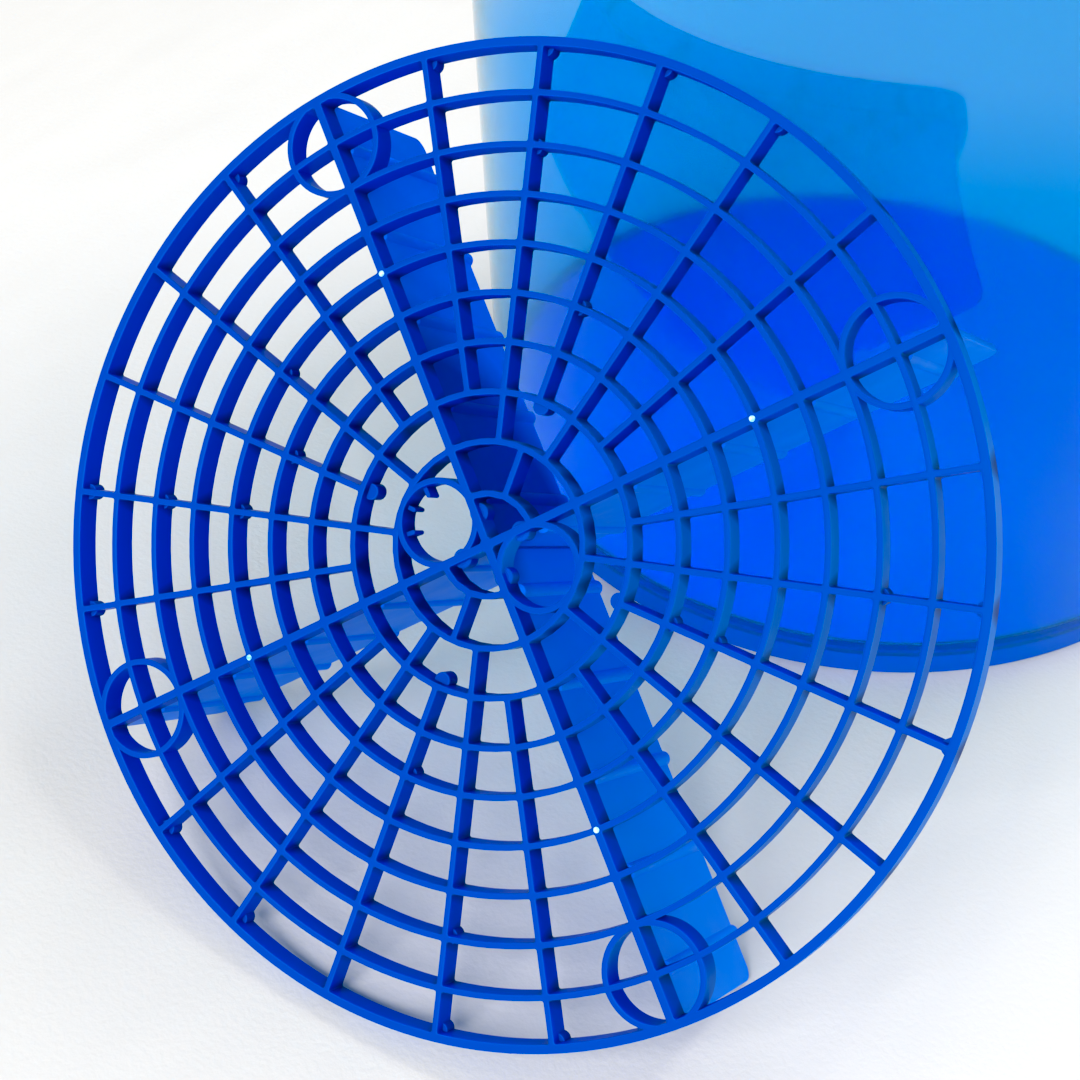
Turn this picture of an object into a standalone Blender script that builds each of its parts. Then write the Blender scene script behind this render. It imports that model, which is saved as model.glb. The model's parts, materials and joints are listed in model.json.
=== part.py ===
"""Wash bucket set: a tapered 20 litre bucket with a wire bail and a roller grip,
and the round grit guard that stands on its vane tips and leans on the bucket wall.

Metres, +Z up. The floor is z = 0. The guard leans on the bucket's -Y side, and the
bail hangs on its -X side. Everything is placed from the bucket's upright axis."""
import math

import bmesh
import bpy
from mathutils import Matrix

# ---------------------------------------------------------------- driving sizes
GAP = 0.0004                # running gap between neighbouring pieces

# where the bucket's axis stands, so that the origin is the middle of the whole set's base
BUCKET_X = 0.0070
BUCKET_Y = 0.0689

# bucket shell
BASE_R = 0.1290             # outer radius at the floor
TAPER = math.radians(2.87)  # wall angle from the upright
BUCKET_H = 0.3650
WALL_T = 0.0022
FOOT_H = 0.0093             # height of the foot ring, underside of the base plate
FOOT_T = 0.0038
FOOT_SET_IN = 0.0005        # how far the foot is drawn in under the wall
BASE_T = 0.0026
FLOOR_FILLET = 0.0030
LIP_OUT = 0.0045            # how far the rolled lip stands out of the wall
LIP_H = 0.0070
LIP_BEVEL = 0.0012
RING_OUT = 0.0055           # stiffening rings under the lip
RING_T = 0.0022
RING_DROPS = (0.0165, 0.0275)
TURN_STEPS = 48

# ears and bail
PIVOT_DROP = 0.0460         # bail axis below the top of the lip
EAR_R = 0.0115
EAR_LENGTH = 0.0120
EAR_BEVEL = 0.0010
WIRE_R = 0.0025
BAIL_REACH = 0.1900         # bail axis to the middle of the grip
BAIL_HALF_WIDTH = 0.1665    # bucket axis to the wire's outer run
BEND_R = 0.0080
BOW_STEPS = 14              # straight stretches in each half of the bail's bow
GRIP_LENGTH = 0.1100
GRIP_R = 0.0130
GRIP_WAIST_IN = 0.0012      # how much thinner the grip is between its ends
GRIP_END = 0.0100           # length of each full-width end
GRIP_FLARE_END = 0.0220     # where the flare meets the waist, from the grip's end
GRIP_BEVEL = 0.0015
GRIP_END_RUN = 0.0040       # straight wire past each end of the grip
GRIP_WALL_GAP = 0.0006
BORE_PLAY = 0.0004
ROUND_STEPS = 24            # sides of the ears, the grip and the guard's round walls

# grit guard
RING_RADII = (0.1290, 0.1160, 0.1028, 0.0902, 0.0777, 0.0650, 0.0524, 0.0395, 0.0267, 0.0133)
SPOKES = 24
MAIN_SPOKES = (6, 12, 18, 24)
WEB_DEPTH = 0.0078
WEB_T = 0.0016
MAIN_T = 0.0022
RIM_T = 0.0024
HUB_R = 0.0022              # the openings stop this far from the guard's axis
FOOT_RING_R = 0.0131        # round foot at each main spoke, from rim to second ring
POCKET_R = 0.0110           # round pockets beside the hub
VANE_DEPTH = 0.0600         # front of the grid to the vane's lower edge
VANE_T = 0.0022
VANE_CORNER_R = 0.0040
VANE_SET_IN = 0.0008        # from the rim's outer side to the vane's outer edge
RIB_R = 0.0022
RIB_BULGE = 0.0012          # how far a rib runs past the vane's lower edge
RIB_STEPS = 12
GUARD_LEAN = math.radians(38.3)
GUARD_SIDE = -0.0114        # guard's middle beside the bucket's axis
MAX_CHORD = 0.0175          # longest straight stretch of a ring between two spokes

BLUE = (0.010, 0.105, 0.700)
CLEAR_BLUE = (0.020, 0.250, 0.880)
STEEL = (0.62, 0.62, 0.64)
GRIP_BLACK = (0.020, 0.020, 0.022)


# ---------------------------------------------------------------- shared tools
def clear_scene():
    for obj in list(bpy.data.objects):
        bpy.data.objects.remove(obj, do_unlink=True)


def make_collection(name):
    collection = bpy.data.collections.new(name)
    bpy.context.scene.collection.children.link(collection)
    return collection


def make_material(name, colour, roughness, metallic=0.0):
    material = bpy.data.materials.new(name)
    material.use_nodes = True
    shader = material.node_tree.nodes["Principled BSDF"]
    shader.inputs["Base Color"].default_value = (*colour, 1.0)
    shader.inputs["Roughness"].default_value = roughness
    shader.inputs["Metallic"].default_value = metallic
    return material


def add_object(name, data, collection, material=None):
    obj = bpy.data.objects.new(name, data)
    collection.objects.link(obj)
    if material is not None:
        obj.data.materials.append(material)
    return obj


def add_empty(name, collection, matrix):
    empty = bpy.data.objects.new(name, None)
    collection.objects.link(empty)
    empty.matrix_world = matrix
    return empty


def mesh_from_curve(curve_obj, name, collection, material=None):
    """Turns a curve object into a closed mesh object and removes the curve."""
    bpy.context.view_layer.update()
    depsgraph = bpy.context.evaluated_depsgraph_get()
    mesh = bpy.data.meshes.new_from_object(curve_obj.evaluated_get(depsgraph))
    mesh.materials.clear()
    bm = bmesh.new()
    bm.from_mesh(mesh)
    bmesh.ops.remove_doubles(bm, verts=bm.verts, dist=0.00001)
    bm.to_mesh(mesh)
    bm.free()
    mesh.name = name
    matrix = curve_obj.matrix_world.copy()
    bpy.data.objects.remove(curve_obj, do_unlink=True)
    obj = add_object(name, mesh, collection, material)
    obj.matrix_world = matrix
    return obj


def flat_plate(name, loops, thickness, collection, material=None):
    """A plate of the given outlines (outer edge and holes), centred on z = 0."""
    curve = bpy.data.curves.new(name + "_outline", "CURVE")
    curve.dimensions = "2D"
    curve.fill_mode = "BOTH"
    curve.extrude = thickness / 2
    for loop in loops:
        spline = curve.splines.new("POLY")
        spline.points.add(len(loop) - 1)
        for point, (x, y) in zip(spline.points, loop):
            point.co = (x, y, 0, 1)
        spline.use_cyclic_u = True
    return mesh_from_curve(add_object(name + "_curve", curve, collection), name, collection, material)


def turned(name, profile, collection, material, steps):
    """Turns a (radius, height) profile about Z. It runs down its outer side, and it is
    closed unless it starts and ends on the axis."""
    mesh = bpy.data.meshes.new(name)
    bm = bmesh.new()
    verts = [bm.verts.new((r, 0, z)) for r, z in profile]
    ends = verts[1:] if profile[0][0] == 0 else verts[1:] + verts[:1]
    for start, end in zip(verts, ends):
        bm.edges.new((start, end))
    bm.to_mesh(mesh)
    bm.free()
    obj = add_object(name, mesh, collection, material)
    screw = obj.modifiers.new("turn", "SCREW")
    screw.steps = steps
    screw.render_steps = steps
    screw.use_merge_vertices = True
    screw.merge_threshold = 0.00001
    screw.use_smooth_shade = True
    return obj


def boolean(obj, operation, tool):
    modifier = obj.modifiers.new(operation.lower(), "BOOLEAN")
    modifier.operation = operation
    modifier.solver = "EXACT"
    modifier.object = tool
    tool.display_type = "WIRE"
    tool.hide_render = True


def arc(radius, start, end):
    """Points on an arc about the middle, ends included, no more than MAX_CHORD apart."""
    count = math.ceil(radius * abs(end - start) / MAX_CHORD)
    angles = [start + (end - start) * i / count for i in range(count + 1)]
    return [(radius * math.cos(a), radius * math.sin(a)) for a in angles]


def circle(radius, count, turn=0.0, centre=(0, 0)):
    angles = [2 * math.pi * (i + turn) / count for i in range(count)]
    return [(centre[0] + radius * math.cos(a), centre[1] + radius * math.sin(a)) for a in angles]


# ---------------------------------------------------------------- bucket
def wall_radius(height):
    return BASE_R + height * math.tan(TAPER)


def bucket_profile():
    """From the middle of the inside floor up the inner side, then down the outer side."""
    floor = FOOT_H + BASE_T
    profile = [(0.0, floor), (wall_radius(floor) - WALL_T - FLOOR_FILLET, floor)]
    profile.append((wall_radius(floor) - WALL_T, floor + FLOOR_FILLET))
    profile.append((wall_radius(BUCKET_H) - WALL_T, BUCKET_H))
    lip_r = wall_radius(BUCKET_H) + LIP_OUT
    profile += [(lip_r - LIP_BEVEL, BUCKET_H), (lip_r, BUCKET_H - LIP_BEVEL), (lip_r, BUCKET_H - LIP_H)]
    profile.append((wall_radius(BUCKET_H - LIP_H), BUCKET_H - LIP_H))
    for drop in RING_DROPS:
        top = BUCKET_H - drop
        outer = wall_radius(top) + RING_OUT
        profile += [(wall_radius(top), top), (outer, top), (outer, top - RING_T)]
        profile.append((wall_radius(top - RING_T), top - RING_T))
    profile += [(wall_radius(FOOT_H), FOOT_H), (BASE_R - FOOT_SET_IN, FOOT_H - 2 * FOOT_SET_IN)]
    profile += [(BASE_R - 2 * FOOT_SET_IN, 0.0), (BASE_R - FOOT_T, 0.0), (BASE_R - FOOT_T, FOOT_H)]
    return profile + [(0.0, FOOT_H)]


def build_bucket(parts, material):
    shell = turned("bucket_shell", bucket_profile(), parts, material, TURN_STEPS)
    shell.location = (BUCKET_X, BUCKET_Y, 0)


# ---------------------------------------------------------------- ears, bail and grip
PIVOT_Z = BUCKET_H - PIVOT_DROP


def bail_hang_angle():
    """Angle below level at which the grip lies against the bucket wall."""
    angle = 0.6
    for _ in range(30):
        height = PIVOT_Z - BAIL_REACH * math.sin(angle)
        stand_off = wall_radius(height) + (GRIP_R + GRIP_WALL_GAP) / math.cos(TAPER)
        angle = math.acos(stand_off / BAIL_REACH)
    return angle


def build_ears(parts, material):
    back = wall_radius(PIVOT_Z + EAR_R) + GAP
    bore = WIRE_R + BORE_PLAY
    front = back + EAR_LENGTH
    profile = [(EAR_R - EAR_BEVEL, front), (EAR_R, front - EAR_BEVEL), (EAR_R, back)]
    profile += [(bore, back), (bore, front)]
    for name, side in (("bail_ear_front", -1), ("bail_ear_back", 1)):
        ear = turned(name, profile, parts, material, ROUND_STEPS)
        ear.location = (BUCKET_X, BUCKET_Y, PIVOT_Z)
        ear.rotation_euler = (math.radians(-90 * side), 0, 0)


def bail_route():
    """Half of the bail in its own plane: (along the pivot axis, away from it)."""
    inner = wall_radius(PIVOT_Z + EAR_R) + 3 * GAP
    corner = BAIL_HALF_WIDTH - BEND_R
    route = [(inner, 0.0), ((inner + corner) / 2, 0.0)]
    for degrees in (-90, -67.5, -45, -22.5, 0):
        a = math.radians(degrees)
        route.append((corner + BEND_R * math.cos(a), BEND_R + BEND_R * math.sin(a)))
    straight = GRIP_LENGTH / 2 + GRIP_END_RUN
    for i in range(1, BOW_STEPS + 1):
        a = math.radians(90) * i / BOW_STEPS
        route.append((
            straight + (BAIL_HALF_WIDTH - straight) * math.cos(a),
            BEND_R + (BAIL_REACH - BEND_R) * math.sin(a),
        ))
    return route


def grip_profile():
    bore = WIRE_R + BORE_PLAY
    end = GRIP_LENGTH / 2
    waist = GRIP_R - GRIP_WAIST_IN
    upper = [(GRIP_R - GRIP_BEVEL, end), (GRIP_R, end - GRIP_BEVEL)]
    upper += [(GRIP_R, end - GRIP_END), (waist, end - GRIP_FLARE_END)]
    lower = [(radius, -height) for radius, height in reversed(upper)]
    return upper + lower + [(bore, -end), (bore, end)]


def build_bail(parts, wire_material, grip_material):
    hang = bail_hang_angle()
    swing = Matrix.Translation((BUCKET_X, BUCKET_Y, PIVOT_Z)) @ Matrix.Rotation(-hang, 4, "Y")
    pivot = add_empty("bail_pivot", parts, swing)
    half = bail_route()
    points = [(-reach, -side, 0) for side, reach in half]
    points += [(-reach, side, 0) for side, reach in reversed(half)]
    curve = bpy.data.curves.new("bail_wire", "CURVE")
    curve.dimensions = "3D"
    curve.bevel_depth = WIRE_R
    curve.bevel_resolution = 2
    curve.use_fill_caps = True
    spline = curve.splines.new("POLY")
    spline.points.add(len(points) - 1)
    for target, point in zip(spline.points, points):
        target.co = (*point, 1)
    wire = add_object("bail_wire", curve, parts, wire_material)
    wire.parent = pivot

    grip = turned("bail_grip", grip_profile(), parts, grip_material, ROUND_STEPS)
    grip.parent = pivot
    grip.location = (-BAIL_REACH, 0, 0)
    grip.rotation_euler = (math.radians(90), 0, 0)


# ---------------------------------------------------------------- grit guard
def spoke_angle(spoke):
    """Spoke 3 points straight up the leaning guard, and they count clockwise from the front."""
    return math.radians(90 - 15 * (spoke - 3))


def side_angle(spoke, radius):
    """Half the angle that a spoke's own thickness takes up at this radius."""
    thickness = MAIN_T if spoke % 6 == 0 else WEB_T
    return math.asin(thickness / 2 / radius)


def cell(outer, inner, first, last):
    """Outline of the opening between two rings and two spokes, first before last."""
    start = spoke_angle(first)
    end = spoke_angle(last)
    far = arc(outer, start - side_angle(first, outer), end + side_angle(last, outer))
    near = arc(inner, end + side_angle(last, inner), start - side_angle(first, inner))
    return far + near


def grid_outlines():
    """The guard's rim with every opening between its rings and spokes."""
    half = WEB_T / 2
    rim_outer = RING_RADII[0] + RIM_T / 2
    loops = [circle(rim_outer, 2 * SPOKES)]
    for ring in range(7):
        outer = RING_RADII[ring] - (RIM_T / 2 if ring == 0 else half)
        inner = RING_RADII[ring + 1] + half
        for spoke in range(SPOKES):
            loops.append(cell(outer, inner, spoke, spoke + 1))
    for quarter in range(4):
        main = 6 * quarter
        for first in (main, main + 2, main + 4):
            loops.append(cell(RING_RADII[7] - half, RING_RADII[8] + half, first, first + 2))
        if quarter % 2 == 0:
            for first in (main, main + 3):
                loops.append(cell(RING_RADII[8] - half, RING_RADII[9] + half, first, first + 3))
            loops.append(cell(RING_RADII[9] - half, HUB_R, main, main + 6))
        else:
            loops.append(cell(RING_RADII[8] - half, HUB_R, main, main + 6))
    return loops


def ring_plate(name, centre, radius, collection):
    """A round wall. Its corners are turned half a step, so that none falls on a spoke or a ring."""
    half = WEB_T / 2
    loops = [circle(r, ROUND_STEPS, 0.5, centre) for r in (radius + half, radius - half)]
    return flat_plate(name, loops, WEB_DEPTH, collection)


def build_grid(parts, cutters, frame, material):
    grid = flat_plate("guard_grid", grid_outlines(), WEB_DEPTH, parts, material)
    grid.parent = frame
    grid.location = (0, 0, -WEB_DEPTH / 2)
    rings = []
    for spoke in MAIN_SPOKES:
        a = spoke_angle(spoke)
        centre = (RING_RADII[1] * math.cos(a), RING_RADII[1] * math.sin(a))
        rings.append(ring_plate("foot_ring_%d" % spoke, centre, FOOT_RING_R, cutters))
    for side in (-1, 1):
        centre = (side * POCKET_R * math.sqrt(2), 0)
        rings.append(ring_plate("pocket_%d" % side, centre, POCKET_R, cutters))
    for ring in rings:
        ring.parent = frame
        ring.location = (0, 0, -WEB_DEPTH / 2)
        boolean(grid, "UNION", ring)


def vane_outline():
    """Side view of a vane: x outward from the guard's axis, y towards the guard's front."""
    inner = VANE_T / 2 + GAP
    outer = RING_RADII[0] + RIM_T / 2 - VANE_SET_IN
    top = -WEB_DEPTH - GAP
    corner_x = outer - VANE_CORNER_R
    corner_y = -VANE_DEPTH + VANE_CORNER_R
    points = [(inner, top), (inner, -VANE_DEPTH)]
    for degrees in (-90, -60, -30, 0):
        a = math.radians(degrees)
        points.append((corner_x + VANE_CORNER_R * math.cos(a), corner_y + VANE_CORNER_R * math.sin(a)))
    return points + [(outer, top)]


def build_vane(name, spoke, parts, cutters, frame, material):
    upright = Matrix.Rotation(spoke_angle(spoke), 4, "Z") @ Matrix.Rotation(math.radians(90), 4, "X")
    vane = flat_plate(name, [vane_outline()], VANE_T, parts, material)
    vane.parent = frame
    vane.matrix_local = upright
    top = -WEB_DEPTH - GAP
    bottom = -VANE_DEPTH - RIB_BULGE
    mesh = bpy.data.meshes.new(name + "_ribs")
    bm = bmesh.new()
    turn = Matrix.Rotation(math.radians(90), 4, "X")
    for radius in RING_RADII[1::2]:
        bmesh.ops.create_cone(
            bm, cap_ends=True, segments=RIB_STEPS, radius1=RIB_R, radius2=RIB_R,
            depth=top - bottom, matrix=Matrix.Translation((radius, (top + bottom) / 2, 0)) @ turn,
        )
    bm.to_mesh(mesh)
    bm.free()
    ribs = add_object(name + "_ribs", mesh, cutters)
    ribs.parent = frame
    ribs.matrix_local = upright
    boolean(vane, "UNION", ribs)


def guard_matrix():
    """Stands the guard on its two lower vane tips with its rim against the bucket wall."""
    up = math.cos(GUARD_LEAN)
    back = math.sin(GUARD_LEAN)
    rim = RING_RADII[0] + RIM_T / 2
    diagonal = math.cos(math.radians(45))
    tip_r = rim - VANE_SET_IN - VANE_CORNER_R
    corner_drop = (tip_r + VANE_T / 2) * diagonal * up + (VANE_DEPTH - VANE_CORNER_R) * back
    height = corner_drop + VANE_CORNER_R * math.hypot(up * diagonal, back)
    touch_z = height + rim * up - WEB_DEPTH * back
    touch_y = math.sqrt((wall_radius(touch_z) + GAP / math.cos(TAPER)) ** 2 - GUARD_SIDE ** 2)
    y = -touch_y - rim * back - WEB_DEPTH * up
    place = Matrix.Translation((BUCKET_X + GUARD_SIDE, BUCKET_Y + y, height))
    return place @ Matrix.Rotation(math.radians(90) - GUARD_LEAN, 4, "X")


def build_guard(parts, cutters, material):
    frame = add_empty("guard_frame", parts, guard_matrix())
    build_grid(parts, cutters, frame, material)
    places = (("upper_left", 24), ("upper_right", 6), ("lower_right", 12), ("lower_left", 18))
    for place, spoke in places:
        build_vane("guard_vane_" + place, spoke, parts, cutters, frame, material)


def main():
    clear_scene()
    parts = make_collection("wash_bucket_set")
    cutters = make_collection("cutters")
    bucket_plastic = make_material("bucket_plastic", CLEAR_BLUE, 0.35)
    guard_plastic = make_material("guard_plastic", BLUE, 0.32)
    steel = make_material("bail_steel", STEEL, 0.30, 1.0)
    grip_plastic = make_material("grip_plastic", GRIP_BLACK, 0.45)
    build_bucket(parts, bucket_plastic)
    build_ears(parts, bucket_plastic)
    build_bail(parts, steel, grip_plastic)
    build_guard(parts, cutters, guard_plastic)


main()
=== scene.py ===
"""Looks for the wash bucket set: a translucent blue bucket, its wire bail and roller grip,
and the cobalt blue grit guard that leans on it."""
import json
import math

import bmesh
import bpy
from mathutils import Matrix, Vector


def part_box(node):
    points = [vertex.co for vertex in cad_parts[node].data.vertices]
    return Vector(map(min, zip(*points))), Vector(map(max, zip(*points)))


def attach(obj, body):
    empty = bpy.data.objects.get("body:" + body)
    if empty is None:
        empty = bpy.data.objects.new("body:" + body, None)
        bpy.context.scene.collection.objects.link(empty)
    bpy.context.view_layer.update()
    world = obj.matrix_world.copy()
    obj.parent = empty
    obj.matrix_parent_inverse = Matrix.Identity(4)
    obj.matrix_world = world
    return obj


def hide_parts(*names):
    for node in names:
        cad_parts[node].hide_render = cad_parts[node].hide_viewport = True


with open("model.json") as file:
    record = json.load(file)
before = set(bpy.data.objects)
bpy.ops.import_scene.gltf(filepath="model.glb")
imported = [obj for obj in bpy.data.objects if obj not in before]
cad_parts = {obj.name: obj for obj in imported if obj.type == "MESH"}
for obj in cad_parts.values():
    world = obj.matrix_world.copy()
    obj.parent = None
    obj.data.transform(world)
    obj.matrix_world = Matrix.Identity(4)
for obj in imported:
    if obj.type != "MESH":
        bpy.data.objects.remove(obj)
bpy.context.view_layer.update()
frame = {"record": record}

# ---------------------------------------------------------------- sizes, metres
TAPER = math.radians(2.87)
BASE_R = 0.1290
WALL_T = 0.0022
FOOT_H = 0.0093
FOOT_T = 0.0038
BASE_T = 0.0026
LIP_OUT = 0.0045
LIP_H = 0.0070
RING_OUT = 0.0055
RING_T = 0.0022
RING_DROPS = (0.0165, 0.0275)
LIP_ROUND = 0.0018
SMALL_ROUND = 0.0005
FLOOR_FILLET = 0.0030
EAR_R = 0.0115
EAR_ROUND = 0.0010
BORE_FLARE = 0.0008
WIRE_R = 0.0025
WIRE_GAP = 0.0004
BEND_R = 0.0080
GRIP_R = 0.0129
GRIP_WAIST = 0.0012
GRIP_FLARE_LENGTH = 0.0200
GROOVE_DEPTH = 0.00035
GROOVE_STEP = 0.0062

RING_RADII = (0.1290, 0.1160, 0.1028, 0.0902, 0.0777, 0.0650, 0.0524, 0.0395, 0.0267, 0.0133)
SPOKES = 24
MAIN_SPOKES = (6, 12, 18, 24)
WEB_DEPTH = 0.0078
WEB_T = 0.0016
MAIN_T = 0.0022
RIM_T = 0.0024
FOOT_RING_R = 0.0131
POCKET_R = 0.0110
VANE_DEPTH = 0.0600
VANE_T = 0.0022
VANE_CORNER_R = 0.0040
RIB_R = 0.0022
RIB_BULGE = 0.0010
VANE_EDGE_ROUND = 0.0005
VANE_TOP = -WEB_DEPTH + 0.0008
HUB_HOLE_R = 0.0020
FLUSH_GAP = 0.00004
GATE_R = 0.0008
PAD_R = 0.0022
HUB_PAD_R = 0.0026
HUB_PAD_PLACE_R = 0.0090
PAD_LOW = -WEB_DEPTH / 2 - 0.0001
PAD_TOP = WEB_DEPTH / 2 - 0.0034
PAD_PLACES = [(spoke, 0) for spoke in (1, 2, 3, 4, 8, 9, 13, 14, 16, 17, 19, 20, 23)]
PAD_PLACES += [(14, 2), (20, 2), (9, 5), (15, 5), (20, 4), (22, 4), (21, 5), (9, 6), (3, 5), (8, 2), (2, 2)]
PAD_SPOKES_LEFT_SHORT = (3, 9, 15, 21)
FIN_R = 0.0006
FIN_LENGTHS = {138: 0.0026, 178: 0.0020, 219: 0.0022}
GUARD_LEAN = math.radians(38.3)
FILLET = 0.0006
FILLET_STEPS = 3
SHARP_BEND = math.radians(35)
CHORD = 0.0045
EDGE_ROUND = 0.00042
WELD_DISTANCE = 0.000004

# heights between which the wall turns glossy, and how glossy it gets
POLISH_LOW = 0.180
POLISH_HIGH = 0.215
POLISH = 0.9

FLOOR_SIZE = 15.0
FLOOR_DROP = 0.0003
CAMERA_PLACE = (0.2011, -0.4676, 0.4585)
CAMERA_TURN = (46.891, -0.734, 32.071)
CAMERA_LENS = 66.3

shell_low, shell_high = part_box("bucket_shell")
AXIS_X = (shell_low[0] + shell_high[0]) / 2
AXIS_Y = (shell_low[1] + shell_high[1]) / 2
BUCKET_H = shell_high[2]
joints = {joint["name"]: joint for joint in frame["record"]["behaviour"]["joints"]}
PIVOT = Vector(joints["bail_swing"]["pos_m"])
GRIP_MIDDLE = Vector(joints["grip_spin"]["pos_m"])


def wall_radius(height):
    return BASE_R + height * math.tan(TAPER)


def guard_matrix():
    """Where the CAD guard stands: its lean is known, and its grid's box gives its middle."""
    low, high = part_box("guard_grid")
    turn = Matrix.Rotation(math.radians(90) - GUARD_LEAN, 4, "X")
    middle = (Vector(low) + Vector(high)) / 2
    return Matrix.Translation(middle + turn.to_3x3() @ Vector((0, 0, WEB_DEPTH / 2))) @ turn


# ---------------------------------------------------------------- scene tools
def link(obj):
    bpy.context.scene.collection.objects.link(obj)
    return obj


def new_object(name, data):
    return link(bpy.data.objects.new(name, data))


def applied(obj, welded=True):
    """Replaces an object by the mesh that its modifiers and curve settings make."""
    bpy.context.view_layer.update()
    depsgraph = bpy.context.evaluated_depsgraph_get()
    mesh = bpy.data.meshes.new_from_object(obj.evaluated_get(depsgraph))
    name = obj.name
    matrix = obj.matrix_world.copy()
    bpy.data.objects.remove(obj, do_unlink=True)
    if welded:
        bm = bmesh.new()
        bm.from_mesh(mesh)
        bmesh.ops.remove_doubles(bm, verts=bm.verts, dist=WELD_DISTANCE)
        bmesh.ops.recalc_face_normals(bm, faces=bm.faces)
        bm.to_mesh(mesh)
        bm.free()
    mesh.materials.clear()
    result = new_object(name, mesh)
    result.matrix_world = matrix
    return result


def plate(name, loops, thickness, rounding=EDGE_ROUND):
    """A flat plate with rounded edges from outlines in the XY plane, its middle at z = 0."""
    curve = bpy.data.curves.new(name, "CURVE")
    curve.dimensions = "2D"
    curve.fill_mode = "BOTH"
    curve.extrude = thickness / 2 - rounding
    curve.bevel_depth = rounding
    curve.bevel_resolution = 2
    curve.offset = -rounding
    for loop in loops:
        spline = curve.splines.new("POLY")
        spline.points.add(len(loop) - 1)
        for point, (x, y) in zip(spline.points, loop):
            point.co = (x, y, 0, 1)
        spline.use_cyclic_u = True
    return applied(new_object(name, curve))


def turned(name, profile, steps):
    """Turns a (radius, height) profile about Z. It is closed, or open if it starts on the axis."""
    mesh = bpy.data.meshes.new(name)
    bm = bmesh.new()
    verts = [bm.verts.new((r, 0, z)) for r, z in profile]
    ends = verts[1:] if profile[0][0] == 0 else verts[1:] + verts[:1]
    for start, end in zip(verts, ends):
        bm.edges.new((start, end))
    bm.to_mesh(mesh)
    bm.free()
    obj = new_object(name, mesh)
    screw = obj.modifiers.new("turn", "SCREW")
    screw.steps = steps
    screw.render_steps = steps
    screw.use_merge_vertices = True
    screw.merge_threshold = 0.000005
    return applied(obj)


def polar(radius, angle):
    return (radius * math.cos(angle), radius * math.sin(angle))


def circle(radius, count, centre=(0, 0)):
    angles = [2 * math.pi * i / count for i in range(count)]
    return [(centre[0] + radius * math.cos(a), centre[1] + radius * math.sin(a)) for a in angles]


def cylinder_into(bm, radius, low, high, centre, segments=20, dome=0.0):
    """Adds a closed upright cylinder to a bmesh, with its ends rounded off by dome."""
    rows = [(radius - dome, low), (radius, low + dome), (radius, high - dome), (radius - dome, high)]
    if dome == 0.0:
        rows = [(radius, low), (radius, high)]
    rings = []
    for r, z in rows:
        rings.append([bm.verts.new((x, y, z)) for x, y in circle(r, segments, centre)])
    for lower, upper in zip(rings, rings[1:]):
        for i in range(segments):
            j = (i + 1) % segments
            bm.faces.new((lower[i], lower[j], upper[j], upper[i]))
    bm.faces.new(list(reversed(rings[0])))
    bm.faces.new(rings[-1])


def mesh_object(name, bm):
    mesh = bpy.data.meshes.new(name)
    bm.to_mesh(mesh)
    bm.free()
    return new_object(name, mesh)


def boolean(obj, operation, *tools):
    for tool in tools:
        modifier = obj.modifiers.new(operation.lower(), "BOOLEAN")
        modifier.operation = operation
        modifier.solver = "EXACT"
        modifier.object = tool
    result = applied(obj, welded=False)
    for tool in tools:
        bpy.data.objects.remove(tool, do_unlink=True)
    return result


def shade(obj, angle=35, weighted=True):
    obj.data.shade_smooth()
    obj.data.set_sharp_from_angle(angle=math.radians(angle))
    if weighted:
        normal = obj.modifiers.new("weighted", "WEIGHTED_NORMAL")
        normal.keep_sharp = True
        normal.weight = 80


def settled(obj):
    """Puts the object's place into its mesh, so that its box is the box of its own points."""
    obj.data.transform(obj.matrix_world)
    obj.matrix_world = Matrix.Identity(4)


def finish_piece(obj, material, slot, body, *nodes):
    obj.data.materials.clear()
    obj.data.materials.append(material)
    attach(obj, body)
    if nodes:
        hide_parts(*nodes)


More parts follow.
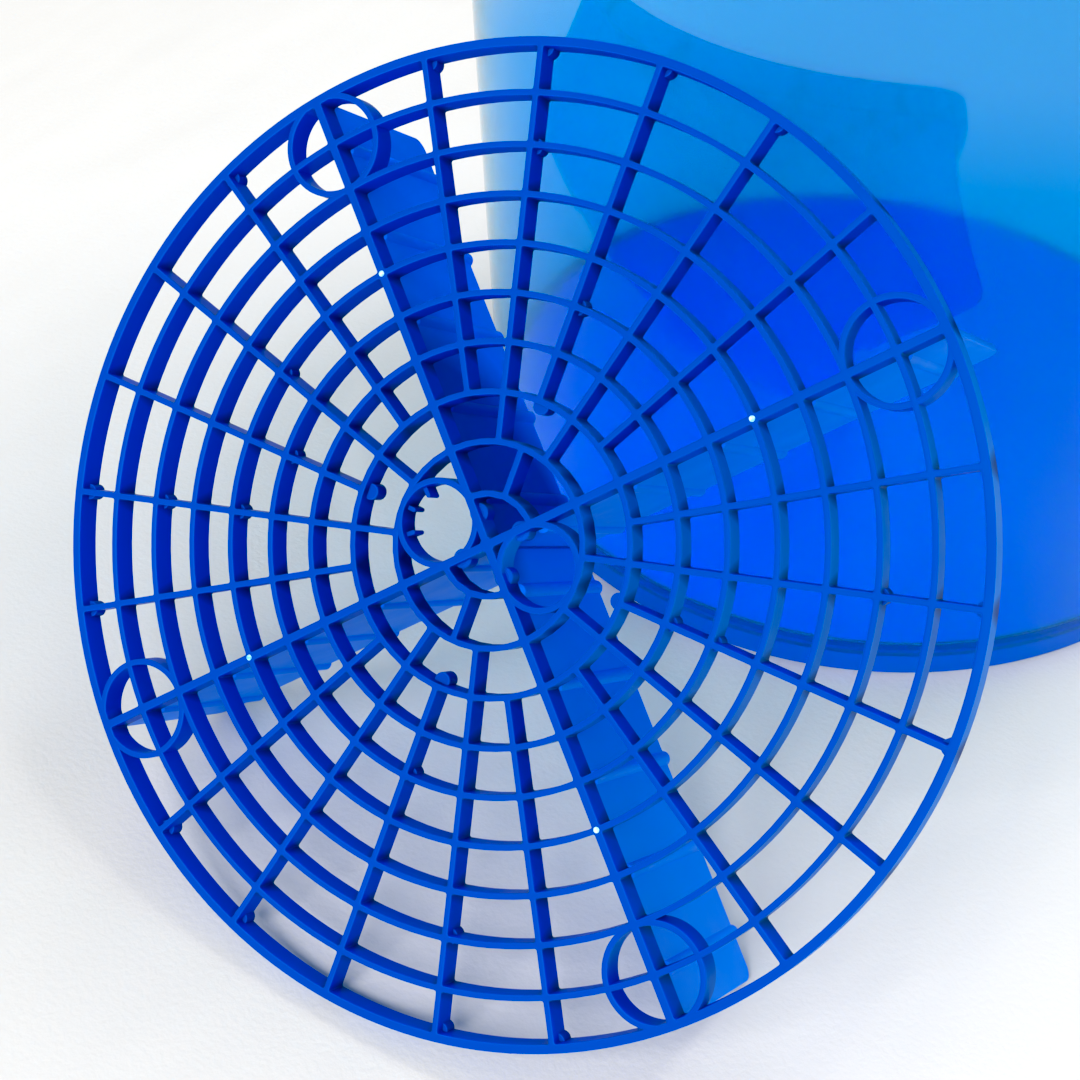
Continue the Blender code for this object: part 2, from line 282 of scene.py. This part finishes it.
# ---------------------------------------------------------------- materials
class Nodes:
    """Short calls for building one material's node tree."""

    def __init__(self, name):
        self.material = bpy.data.materials.new(name)
        self.material.use_nodes = True
        self.tree = self.material.node_tree
        self.shader = self.tree.nodes["Principled BSDF"]
        coords = self.tree.nodes.new("ShaderNodeTexCoord")
        self.place = coords.outputs["Object"]
        self.normal = coords.outputs["Normal"]

    def set(self, **values):
        for name, value in values.items():
            self.shader.inputs[name.replace("_", " ")].default_value = value

    def noise(self, scale, detail, stretch=None):
        node = self.tree.nodes.new("ShaderNodeTexNoise")
        node.inputs["Scale"].default_value = scale
        node.inputs["Detail"].default_value = detail
        place = self.place
        if stretch:
            mapping = self.tree.nodes.new("ShaderNodeMapping")
            mapping.inputs["Scale"].default_value = stretch
            self.tree.links.new(place, mapping.inputs["Vector"])
            place = mapping.outputs["Vector"]
        self.tree.links.new(place, node.inputs["Vector"])
        return node.outputs["Fac"]

    def ramp(self, value, *stops):
        node = self.tree.nodes.new("ShaderNodeValToRGB")
        ramp = node.color_ramp
        while len(ramp.elements) < len(stops):
            ramp.elements.new(0.5)
        for element, (position, colour) in zip(ramp.elements, stops):
            element.position = position
            element.color = (*colour, 1.0)
        self.tree.links.new(value, node.inputs["Fac"])
        return node.outputs["Color"]

    def spread(self, value, low, high, low_out, high_out):
        node = self.tree.nodes.new("ShaderNodeMapRange")
        limits = {"From Min": low, "From Max": high, "To Min": low_out, "To Max": high_out}
        for name, number in limits.items():
            node.inputs[name].default_value = number
        self.tree.links.new(value, node.inputs["Value"])
        return node.outputs["Result"]

    def math(self, operation, first, second=0.0, third=0.0):
        node = self.tree.nodes.new("ShaderNodeMath")
        node.operation = operation
        for socket, value in zip(node.inputs, (first, second, third)):
            if isinstance(value, (int, float)):
                socket.default_value = value
            else:
                self.tree.links.new(value, socket)
        return node.outputs["Value"]

    def parts(self, output):
        """The three numbers of a vector output."""
        node = self.tree.nodes.new("ShaderNodeSeparateXYZ")
        self.tree.links.new(output, node.inputs["Vector"])
        return [node.outputs[axis] for axis in "XYZ"]

    def distance_to_grid(self, step, start, value):
        """How far a value is from the nearest whole step, in the value's own unit."""
        turns = self.math("DIVIDE", self.math("SUBTRACT", value, start), step)
        off = self.math("PINGPONG", turns, 0.5)
        return self.math("MULTIPLY", off, step)

    def radius(self, x, y):
        """The length of (x, y)."""
        return self.math("SQRT", self.math("MULTIPLY_ADD", x, x, self.math("MULTIPLY", y, y)))

    def distance(self, point):
        """How far the shaded place is from a point."""
        node = self.tree.nodes.new("ShaderNodeVectorMath")
        node.operation = "DISTANCE"
        self.tree.links.new(self.place, node.inputs[0])
        node.inputs[1].default_value = point
        return node.outputs["Value"]

    def mix(self, value, first, second):
        node = self.tree.nodes.new("ShaderNodeMix")
        node.data_type = "RGBA"
        self.tree.links.new(value, node.inputs["Factor"])
        self.tree.links.new(first, node.inputs["A"])
        self.tree.links.new(second, node.inputs["B"])
        return node.outputs["Result"]

    def colour(self, output):
        self.tree.links.new(output, self.shader.inputs["Base Color"])

    def roughness(self, output):
        self.tree.links.new(output, self.shader.inputs["Roughness"])

    def bump(self, *layers):
        """Each layer is (height output, strength, distance)."""
        normal = None
        for height, strength, distance in layers:
            node = self.tree.nodes.new("ShaderNodeBump")
            node.inputs["Strength"].default_value = strength
            node.inputs["Distance"].default_value = distance
            self.tree.links.new(height, node.inputs["Height"])
            if normal is not None:
                self.tree.links.new(normal, node.inputs["Normal"])
            normal = node.outputs["Normal"]
        self.tree.links.new(normal, self.shader.inputs["Normal"])


def corner_shade(m, upward):
    """The mask of the painted shade: one in the deep corners beside the grid's crossings, zero elsewhere."""
    x, y, z = m.parts(m.place)
    radius = m.radius(x, y)
    angle = m.math("ARCTAN2", y, x)
    along_ring = m.math("MULTIPLY", m.distance_to_grid(2 * math.pi / SPOKES, 0.0, angle), radius)
    ring_step = (RING_RADII[0] - RING_RADII[-1]) / (len(RING_RADII) - 1)
    along_spoke = m.distance_to_grid(ring_step, RING_RADII[-1], radius)
    depth = m.math("SUBTRACT", WEB_DEPTH / 2, z)
    reach = m.math("MULTIPLY_ADD", depth, -0.34, m.radius(along_ring, along_spoke))
    near = m.spread(reach, -0.0004, 0.0026, 1.0, 0.0)
    return m.math("MULTIPLY", near, m.spread(upward, 0.3, 0.7, 1.0, 0.0))


def guard_material():
    m = Nodes("guard_plastic_look")
    x, y, z = m.parts(m.place)
    across, along, up = m.parts(m.normal)
    upward = m.math("ABSOLUTE", up)
    along_radius = m.math("MULTIPLY_ADD", x, across, m.math("MULTIPLY", y, along))
    outward = m.math("DIVIDE", along_radius, m.radius(x, y))
    # painted light and shade: each face's colour is set by which way it points; web sides facing away from
    # the hub are painted lighter than the sides facing it
    side = m.ramp(outward, (0.10, (0.000, 0.028, 0.650)), (0.60, (0.000, 0.150, 0.720)))
    # painted highlight: the rounded edges are painted lighter than the flat front faces, and the front faces
    # darker than the sides, as painted light and shade
    painted_edge_highlight = (0.000, 0.085, 0.560)
    rounded = m.ramp(upward, (0.30, painted_edge_highlight), (0.60, painted_edge_highlight), (0.97, (0.000, 0.040, 0.350)))
    face_painted_light = m.mix(m.spread(upward, 0.15, 0.40, 0.0, 1.0), side, rounded)
    # the darkest blue: the colour of the painted shade in the corners, also mixed in at random as a darker
    # tone of the plastic
    deep = m.ramp(m.noise(14, 3), (0.30, (0.000, 0.002, 0.175)), (0.70, (0.000, 0.004, 0.215)))
    varied = m.mix(m.spread(m.noise(14, 3), 0.3, 0.7, 0.0, 0.14), face_painted_light, deep)
    # painted shade: the deep corners beside the crossings are painted in the darkest blue
    m.colour(m.mix(corner_shade(m, upward), varied, deep))
    m.roughness(m.spread(m.noise(60, 4), 0.3, 0.7, 0.42, 0.52))
    m.bump((m.noise(1400, 2), 0.10, 0.0002), (m.noise(90, 2), 0.10, 0.0006))
    m.set(IOR=1.42, Specular_IOR_Level=0.16, Specular_Tint=(0.15, 0.65, 1.0, 1.0))
    return m.material


def vane_material(part, painted_shade_reach):
    """The reach is how far from the hub's centre the root of the vane is painted in a deeper blue, as
    painted shade.
    """
    m = Nodes("vane_%s_look" % part)
    clouds = m.noise(14, 3)
    light = m.ramp(clouds, (0.30, (0.000, 0.165, 0.950)), (0.70, (0.000, 0.190, 1.000)))
    painted_root_shade = m.ramp(clouds, (0.30, (0.000, 0.010, 0.400)), (0.70, (0.000, 0.014, 0.450)))
    # painted shade: near the hub the vane's root is painted in a deeper blue, fading out past the reach
    root = m.spread(m.distance(guard_matrix().translation), painted_shade_reach - 0.012, painted_shade_reach + 0.008, 1.0, 0.0)
    m.colour(m.mix(root, light, painted_root_shade))
    m.roughness(m.spread(m.noise(60, 4), 0.3, 0.7, 0.40, 0.50))
    m.bump((m.noise(1400, 2), 0.05, 0.0002), (m.noise(90, 2), 0.08, 0.0006))
    m.set(IOR=1.36, Specular_Tint=(0.0, 0.60, 1.0, 1.0))
    return m.material


def bucket_material(part, green, transmission, rough):
    """The wall's look, and with other numbers that of the base plate and the foot ring."""
    m = Nodes("bucket_%s_look" % part)
    low = (0.0, green * 0.96, 1.0)
    high = (0.0, green * 1.04, 1.0)
    m.colour(m.ramp(m.noise(9, 3), (0.30, low), (0.70, high)))
    m.roughness(m.spread(m.noise(40, 4), 0.3, 0.7, rough - 0.015, rough + 0.015))
    m.bump((m.noise(700, 2), 0.03, 0.0002), (m.noise(25, 2), 0.03, 0.0010))
    m.set(Transmission_Weight=transmission, IOR=1.43, Specular_Tint=(0.65, 0.92, 1.0, 1.0))
    m.set(Subsurface_Weight=1.0, Subsurface_Scale=0.0040, Subsurface_Radius=(0.10, 1.0, 1.0))
    polish = m.spread(m.parts(m.place)[2], POLISH_LOW, POLISH_HIGH, 0.0, POLISH)
    m.tree.links.new(polish, m.shader.inputs["Coat Weight"])
    m.set(Coat_IOR=1.60, Coat_Roughness=0.06)
    return m.material


def gate_material():
    m = Nodes("gate_mark_look")
    m.colour(m.ramp(m.noise(900, 3), (0.35, (0.10, 0.45, 0.90)), (0.65, (0.55, 0.85, 1.00))))
    m.roughness(m.spread(m.noise(600, 3), 0.3, 0.7, 0.35, 0.6))
    m.bump((m.noise(1500, 3), 0.5, 0.0003))
    m.set(IOR=1.49)
    return m.material


def steel_material():
    m = Nodes("bail_steel_look")
    streaks = m.noise(300, 3, stretch=(1.0, 0.1, 1.0))
    m.colour(m.ramp(streaks, (0.30, (0.52, 0.53, 0.55)), (0.70, (0.70, 0.71, 0.73))))
    m.roughness(m.spread(m.noise(120, 4), 0.3, 0.7, 0.20, 0.38))
    m.bump((m.noise(900, 3), 0.08, 0.0002))
    m.set(Metallic=1.0)
    return m.material


def grip_material():
    m = Nodes("grip_plastic_look")
    m.colour(m.ramp(m.noise(40, 3), (0.30, (0.024, 0.015, 0.016)), (0.70, (0.038, 0.027, 0.028))))
    m.roughness(m.spread(m.noise(200, 4), 0.3, 0.7, 0.42, 0.58))
    m.bump((m.noise(1600, 3), 0.35, 0.0002))
    m.set(IOR=1.49)
    return m.material


GUARD = guard_material()
# both vane looks carry painted shade at the root; the copy for the vane by the bucket wall paints it much
# further out
VANE = vane_material("free", 0.012)
VANE_SHADED_BY_WALL = vane_material("shaded_by_wall", 0.066)
BUCKET = bucket_material("wall", 0.570, 0.94, 0.075)
BUCKET_BASE = bucket_material("base", 0.047, 0.25, 0.150)
BUCKET_FOOT = bucket_material("foot", 0.140, 0.45, 0.110)
GATE = gate_material()
STEEL = steel_material()
GRIP = grip_material()


# ---------------------------------------------------------------- grit guard
def spoke_angle(spoke):
    return math.radians(90 - 15 * (spoke - 3))


def side_angle(spoke, radius):
    thickness = MAIN_T if spoke % 6 == 0 else WEB_T
    return math.asin(thickness / 2 / radius)


def arc(radius, start, end):
    count = max(2, math.ceil(radius * abs(end - start) / CHORD))
    return [polar(radius, start + (end - start) * i / count) for i in range(count + 1)]


def filleted(points):
    """Rounds the sharp corners of a closed outline."""
    result = []
    count = len(points)
    for i, here in enumerate(points):
        before = Vector(points[i - 1])
        after = Vector(points[(i + 1) % count])
        corner = Vector(here)
        to_before = (before - corner).normalized()
        to_after = (after - corner).normalized()
        bend = math.pi - to_before.angle(to_after)
        if bend < SHARP_BEND:
            result.append(here)
            continue
        room = 0.45 * min((before - corner).length, (after - corner).length)
        reach = min(FILLET * math.tan(bend / 2), room)
        start = corner + to_before * reach
        end = corner + to_after * reach
        for k in range(FILLET_STEPS + 1):
            t = k / FILLET_STEPS
            point = start * (1 - t) ** 2 + corner * 2 * t * (1 - t) + end * t ** 2
            result.append(tuple(point))
    return result


def cell(outer, inner, first, last):
    start = spoke_angle(first)
    end = spoke_angle(last)
    far = arc(outer, start - side_angle(first, outer), end + side_angle(last, outer))
    near = arc(inner, end + side_angle(last, inner), start - side_angle(first, inner))
    return filleted(far + near)


def grid_outlines():
    """The rim's outline and every opening's; there are fewer spokes near the hub."""
    half = WEB_T / 2
    loops = [circle(RING_RADII[0] + RIM_T / 2, 192)]
    for ring in range(7):
        outer = RING_RADII[ring] - (RIM_T / 2 if ring == 0 else half)
        inner = RING_RADII[ring + 1] + half
        for spoke in range(SPOKES):
            loops.append(cell(outer, inner, spoke, spoke + 1))
    for quarter in range(4):
        main = 6 * quarter
        for first in (main, main + 2, main + 4):
            loops.append(cell(RING_RADII[7] - half, RING_RADII[8] + half, first, first + 2))
        if quarter % 2 == 0:
            for first in (main, main + 3):
                loops.append(cell(RING_RADII[8] - half, RING_RADII[9] + half, first, first + 3))
            loops.append(cell(RING_RADII[9] - half, HUB_HOLE_R, main, main + 6))
        else:
            loops.append(cell(RING_RADII[8] - half, HUB_HOLE_R, main, main + 6))
    return loops


def round_wall(name, centre, radius):
    """A round wall whose front is just under the grid's front face."""
    loops = [circle(radius + side * WEB_T / 2, 72, centre) for side in (1, -1)]
    wall = plate(name, loops, WEB_DEPTH)
    wall.location = (0, 0, -FLUSH_GAP)
    return wall


def ejector_pads():
    """Round pads at the back of some crossings, where the mould's pins push."""
    bm = bmesh.new()
    for spoke, ring in PAD_PLACES:
        radius = RING_RADII[ring] - (0.0012 if ring == 0 else 0.0)
        cylinder_into(bm, PAD_R, PAD_LOW, PAD_TOP, polar(radius, spoke_angle(spoke)), dome=0.0002)
    for spoke in PAD_SPOKES_LEFT_SHORT:
        radius = RING_RADII[7] - 0.0014
        cylinder_into(bm, PAD_R, PAD_LOW, PAD_TOP + 0.0008, polar(radius, spoke_angle(spoke)), dome=0.0003)
    for spoke in MAIN_SPOKES:
        spot = polar(HUB_PAD_PLACE_R, spoke_angle(spoke))
        cylinder_into(bm, HUB_PAD_R, PAD_LOW, PAD_TOP + 0.0012, spot, dome=0.0008)
    return mesh_object("ejector_pads", bm)


def pocket_fins():
    """Three small fins inside the left pocket's outer wall."""
    fins = []
    middle = Matrix.Translation((-POCKET_R * math.sqrt(2), 0, -0.0010))
    root = POCKET_R - WEB_T / 2 + 0.0004
    for degrees, length in FIN_LENGTHS.items():
        outline = []
        for reach, turn in ((root, -90), (root - length, 90)):
            for i in range(7):
                x, y = polar(FIN_R, math.radians(turn + 30 * i))
                outline.append((reach + x, y))
        fin = plate("fin_%d" % degrees, [outline], WEB_DEPTH - 0.0024, rounding=0.00015)
        fin.matrix_world = middle @ Matrix.Rotation(math.radians(degrees), 4, "Z")
        fins.append(fin)
    return fins


def build_grid(place):
    grid = plate("guard_grid_fine", grid_outlines(), WEB_DEPTH)
    walls = []
    for spoke in MAIN_SPOKES:
        middle = polar(RING_RADII[1], spoke_angle(spoke))
        walls.append(round_wall("foot_ring_%d" % spoke, middle, FOOT_RING_R))
    for side in (-1, 1):
        walls.append(round_wall("pocket_%d" % side, (side * POCKET_R * math.sqrt(2), 0), POCKET_R))
    grid = boolean(grid, "UNION", *walls)
    grid = boolean(grid, "UNION", ejector_pads())
    grid = boolean(grid, "UNION", *pocket_fins())
    grid.matrix_world = place @ Matrix.Translation((0, 0, -WEB_DEPTH / 2))
    shade(grid)
    finish_piece(grid, GUARD, "guard_plastic", "grit_guard", "guard_grid")


def vane_outline():
    inner = VANE_T / 2 + 0.0002
    outer = RING_RADII[0] + RIM_T / 2 - 0.0008
    corner = (outer - VANE_CORNER_R, -VANE_DEPTH + VANE_CORNER_R)
    points = [(inner, VANE_TOP), (inner, -VANE_DEPTH)]
    for i in range(9):
        x, y = polar(VANE_CORNER_R, math.radians(-90 + 90 * i / 8))
        points.append((corner[0] + x, corner[1] + y))
    return points + [(outer, VANE_TOP)]


def build_vane(name, spoke, place):
    vane = plate(name + "_fine", [vane_outline()], VANE_T - FLUSH_GAP, rounding=VANE_EDGE_ROUND)
    bm = bmesh.new()
    rib_low = -VANE_DEPTH - RIB_BULGE
    rib_high = -WEB_DEPTH + 0.0003
    for radius in RING_RADII[1::2]:
        cylinder_into(bm, RIB_R, rib_low, rib_high, (radius, 0), segments=28, dome=0.0006)
    ribs = mesh_object(name + "_ribs", bm)
    ribs.matrix_world = Matrix.Rotation(math.radians(-90), 4, "X")
    vane = boolean(vane, "UNION", ribs)
    upright = Matrix.Rotation(spoke_angle(spoke), 4, "Z") @ Matrix.Rotation(math.radians(90), 4, "X")
    vane.matrix_world = place @ upright
    settled(vane)
    shade(vane)
    # the upper left vane, by the bucket wall, takes the copy with the longer painted shade
    look = VANE_SHADED_BY_WALL if name.endswith("upper_left") else VANE
    finish_piece(vane, look, "guard_plastic", "grit_guard", name)


def build_gate_marks(place):
    for spoke in MAIN_SPOKES:
        bm = bmesh.new()
        cylinder_into(bm, GATE_R, -0.0003, 0.0003, polar(RING_RADII[4], spoke_angle(spoke)), dome=0.0002)
        mark = mesh_object("gate_mark_%d" % spoke, bm)
        mark.matrix_world = place
        shade(mark)
        finish_piece(mark, GATE, "guard_plastic", "grit_guard")


def build_guard():
    place = guard_matrix()
    build_grid(place)
    for where, spoke in (("upper_left", 24), ("upper_right", 6), ("lower_right", 12), ("lower_left", 18)):
        build_vane("guard_vane_" + where, spoke, place)
    build_gate_marks(place)


# ---------------------------------------------------------------- bucket
def bucket_profile():
    """From the middle of the inside floor up the inner side, then down the outer side."""
    floor = FOOT_H + BASE_T
    middle_r = wall_radius(floor) - WALL_T - FLOOR_FILLET
    profile = [(0.0, floor), (middle_r, floor)]
    for degrees in (30, 60, 90):
        x, z = polar(FLOOR_FILLET, math.radians(degrees - 90))
        profile.append((middle_r + x, floor + FLOOR_FILLET + z))
    mouth_r = wall_radius(BUCKET_H) - WALL_T
    profile += [(mouth_r, BUCKET_H - 0.0010), (mouth_r + 0.0004, BUCKET_H - 0.0003)]
    profile.append((mouth_r + 0.0012, BUCKET_H))
    lip_r = wall_radius(BUCKET_H) + LIP_OUT
    for degrees in (90, 60, 30, 0):
        x, z = polar(LIP_ROUND, math.radians(degrees))
        profile.append((lip_r - LIP_ROUND + x, BUCKET_H - LIP_ROUND + z))
    lip_low = BUCKET_H - LIP_H
    profile += [(lip_r, lip_low + SMALL_ROUND), (lip_r - SMALL_ROUND, lip_low)]
    under_lip = lip_low - SMALL_ROUND
    profile += [(wall_radius(lip_low) + 0.0004, lip_low), (wall_radius(under_lip), under_lip)]
    for drop in RING_DROPS:
        top = BUCKET_H - drop
        low = top - RING_T
        outer = wall_radius(top) + RING_OUT
        profile += [(wall_radius(top) + 0.0001, top + SMALL_ROUND), (wall_radius(top) + SMALL_ROUND, top)]
        profile += [(outer - SMALL_ROUND, top), (outer, top - SMALL_ROUND)]
        profile += [(outer, low + SMALL_ROUND), (outer - SMALL_ROUND, low)]
        profile += [(wall_radius(low) + SMALL_ROUND, low), (wall_radius(low) + 0.0001, low - SMALL_ROUND)]
    profile += [(wall_radius(FOOT_H + 0.0004), FOOT_H + 0.0004), (wall_radius(FOOT_H), FOOT_H)]
    profile += [(BASE_R - 0.0005, FOOT_H - 0.0010), (BASE_R - 0.0009, 0.0006), (BASE_R - 0.0015, 0.0)]
    inner = BASE_R - FOOT_T
    profile += [(inner + 0.0004, 0.0), (inner, SMALL_ROUND), (inner, FOOT_H - 0.0008)]
    return profile + [(inner - 0.0008, FOOT_H), (0.0, FOOT_H)]


def build_bucket():
    shell = turned("bucket_shell_fine", bucket_profile(), 180)
    shell.location = (AXIS_X, AXIS_Y, 0)
    shade(shell, 40)
    finish_piece(shell, BUCKET, "bucket_plastic", "bucket", "bucket_shell")
    shell.data.materials.append(BUCKET_BASE)
    shell.data.materials.append(BUCKET_FOOT)
    for face in shell.data.polygons:
        in_base = face.center.z < FOOT_H + BASE_T + SMALL_ROUND
        if in_base and face.center.xy.length < BASE_R - FOOT_T - 0.0004:
            face.material_index = 1
        elif face.center.z < FOOT_H - 0.0004:
            face.material_index = 2


def build_ears():
    for name, side in (("bail_ear_front", -1), ("bail_ear_back", 1)):
        low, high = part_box(name)
        length = high[1] - low[1]
        bore = WIRE_R + WIRE_GAP
        profile = [(EAR_R - EAR_ROUND, length), (EAR_R - 0.0003, length - 0.0003)]
        profile += [(EAR_R, length - EAR_ROUND), (EAR_R, 0.0)]
        profile += [(bore, 0.0), (bore, length - BORE_FLARE), (bore + BORE_FLARE, length)]
        ear = turned(name + "_fine", profile, 48)
        near_wall = low[1] if side > 0 else high[1]
        ear.location = (PIVOT.x, near_wall, PIVOT.z)
        ear.rotation_euler = (math.radians(-90 * side), 0, 0)
        shade(ear, 40)
        finish_piece(ear, BUCKET, "bucket_plastic", "bucket", name)


# ---------------------------------------------------------------- bail and grip
def hang_matrix():
    """The place of the bail, which is made hanging along -X, and how far the grip is from its pivot."""
    away = GRIP_MIDDLE - PIVOT
    hang = math.atan2(-away.z, -away.x)
    return Matrix.Translation(PIVOT) @ Matrix.Rotation(-hang, 4, "Y"), away.length


def bail_route(reach, half_width, inner, straight):
    """Half of the wire's middle line, from the hook in the ear to the grip, as (side, away) points."""
    corner = half_width - BEND_R
    route = [(inner, 0.0), ((inner + corner) / 2, 0.0)]
    for i in range(9):
        x, y = polar(BEND_R, math.radians(-90 + 90 * i / 8))
        route.append((corner + x, BEND_R + y))
    for i in range(1, 37):
        a = math.radians(90) * i / 36
        side = straight + (half_width - straight) * math.cos(a)
        route.append((side, BEND_R + (reach - BEND_R) * math.sin(a)))
    return route


def build_bail(hang, reach, grip_length):
    low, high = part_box("bail_wire")
    half_width = (high[1] - low[1]) / 2 - WIRE_R
    hook_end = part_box("bail_ear_back")[0][1] - PIVOT.y + 0.0008
    half = bail_route(reach, half_width, hook_end, grip_length / 2 + 0.004)
    points = [(-away, -side, 0) for side, away in half] + [(-away, side, 0) for side, away in reversed(half)]
    curve = bpy.data.curves.new("bail_wire_fine", "CURVE")
    curve.dimensions = "3D"
    curve.bevel_depth = WIRE_R
    curve.bevel_resolution = 6
    curve.use_fill_caps = True
    spline = curve.splines.new("POLY")
    spline.points.add(len(points) - 1)
    for target, point in zip(spline.points, points):
        target.co = (*point, 1)
    wire = applied(new_object("bail_wire_fine", curve))
    wire.matrix_world = hang
    settled(wire)
    shade(wire, 40, weighted=False)
    finish_piece(wire, STEEL, "bail_steel", "bail", "bail_wire")


def grip_profile(length):
    """A roller with flared ends and shallow finger grooves."""
    half = length / 2
    bore = WIRE_R + WIRE_GAP
    grooved = half - GRIP_FLARE_LENGTH - 0.002
    outer = []
    for i in range(61):
        z = half - 0.0015 - (length - 0.003) * i / 60
        flare = max(0.0, abs(z) - (half - GRIP_FLARE_LENGTH)) / GRIP_FLARE_LENGTH
        groove = GROOVE_DEPTH * math.cos(2 * math.pi * z / GROOVE_STEP) if abs(z) < grooved else 0.0
        outer.append((GRIP_R - GRIP_WAIST * (1 - flare) ** 2 + min(groove, 0.0), z))
    profile = [(GRIP_R - 0.0015, half), (GRIP_R - SMALL_ROUND, half - SMALL_ROUND)] + outer
    profile += [(GRIP_R - SMALL_ROUND, SMALL_ROUND - half), (GRIP_R - 0.0015, -half)]
    profile += [(bore + BORE_FLARE, -half), (bore, BORE_FLARE - half)]
    return profile + [(bore, half - BORE_FLARE), (bore + BORE_FLARE, half)]


def build_grip(hang, reach, grip_length):
    grip = turned("bail_grip_fine", grip_profile(grip_length), 96)
    grip.matrix_world = hang @ Matrix.Translation((-reach, 0, 0)) @ Matrix.Rotation(math.radians(90), 4, "X")
    settled(grip)
    shade(grip, 40, weighted=False)
    finish_piece(grip, GRIP, "grip_plastic", "grip", "bail_grip")


def build_bail_and_grip():
    hang, reach = hang_matrix()
    grip_low, grip_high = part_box("bail_grip")
    grip_length = grip_high[1] - grip_low[1]
    build_bail(hang, reach, grip_length)
    build_grip(hang, reach, grip_length)


# ---------------------------------------------------------------- stage
def floor_material():
    m = Nodes("floor_look")
    m.colour(m.ramp(m.noise(3, 3), (0.3, (0.595, 0.593, 0.588)), (0.7, (0.620, 0.618, 0.613))))
    m.roughness(m.spread(m.noise(50, 3), 0.3, 0.7, 0.75, 0.9))
    m.bump((m.noise(500, 3), 0.28, 0.0006), (m.noise(10, 3, stretch=(1.0, 0.35, 1.0)), 0.8, 0.010))
    return m.material


def build_stage():
    bm = bmesh.new()
    bmesh.ops.create_grid(bm, x_segments=8, y_segments=8, size=FLOOR_SIZE)
    floor = mesh_object("floor", bm)
    floor.location = (0, 0, -FLOOR_DROP)
    floor.data.materials.append(floor_material())


def area_light(name, place, aim, size, power, colour):
    data = bpy.data.lights.new(name, "AREA")
    data.shape = "DISK"
    data.size = size
    data.energy = power
    data.color = colour
    light = link(bpy.data.objects.new(name, data))
    light.location = place
    light.rotation_euler = (Vector(aim) - Vector(place)).to_track_quat("-Z", "Y").to_euler()


def build_world():
    world = bpy.data.worlds.new("studio")
    bpy.context.scene.world = world
    world.use_nodes = True
    background = world.node_tree.nodes["Background"]
    background.inputs["Color"].default_value = (1.0, 0.99, 0.97, 1.0)
    background.inputs["Strength"].default_value = 0.50


def build_lights():
    area_light("overhead", (0.4, 1.1, 2.2), (0, 0, 0.1), 1.2, 43, (1.0, 1.0, 0.98))
    area_light("front", (0.15, -1.95, 1.6), (0, -0.1, 0.1), 1.4, 74, (1.0, 0.99, 0.97))
    # a narrow light straight down into the bucket, for its base plate
    data = bpy.data.lights.new("inside", "SPOT")
    data.energy = 60
    data.spot_size = math.radians(10)
    data.spot_blend = 0.4
    data.shadow_soft_size = 0.05
    inside = link(bpy.data.objects.new("inside", data))
    inside.location = (AXIS_X, AXIS_Y, 1.9)


def set_view():
    """Takes a little red out of every colour, for blues purer than plain display colours."""
    view = bpy.context.scene.view_settings
    view.view_transform = "Standard"
    view.use_curve_mapping = True
    view.curve_mapping.black_level = (0.038, 0.0, 0.0)
    view.curve_mapping.update()


def build_camera():
    data = bpy.data.cameras.new("camera")
    data.lens = CAMERA_LENS
    data.sensor_width = 36.0
    camera = link(bpy.data.objects.new("camera", data))
    camera.location = CAMERA_PLACE
    camera.rotation_euler = [math.radians(a) for a in CAMERA_TURN]
    bpy.context.scene.camera = camera


build_guard()
build_bucket()
build_ears()
build_bail_and_grip()
build_stage()
build_world()
build_lights()
set_view()
build_camera()
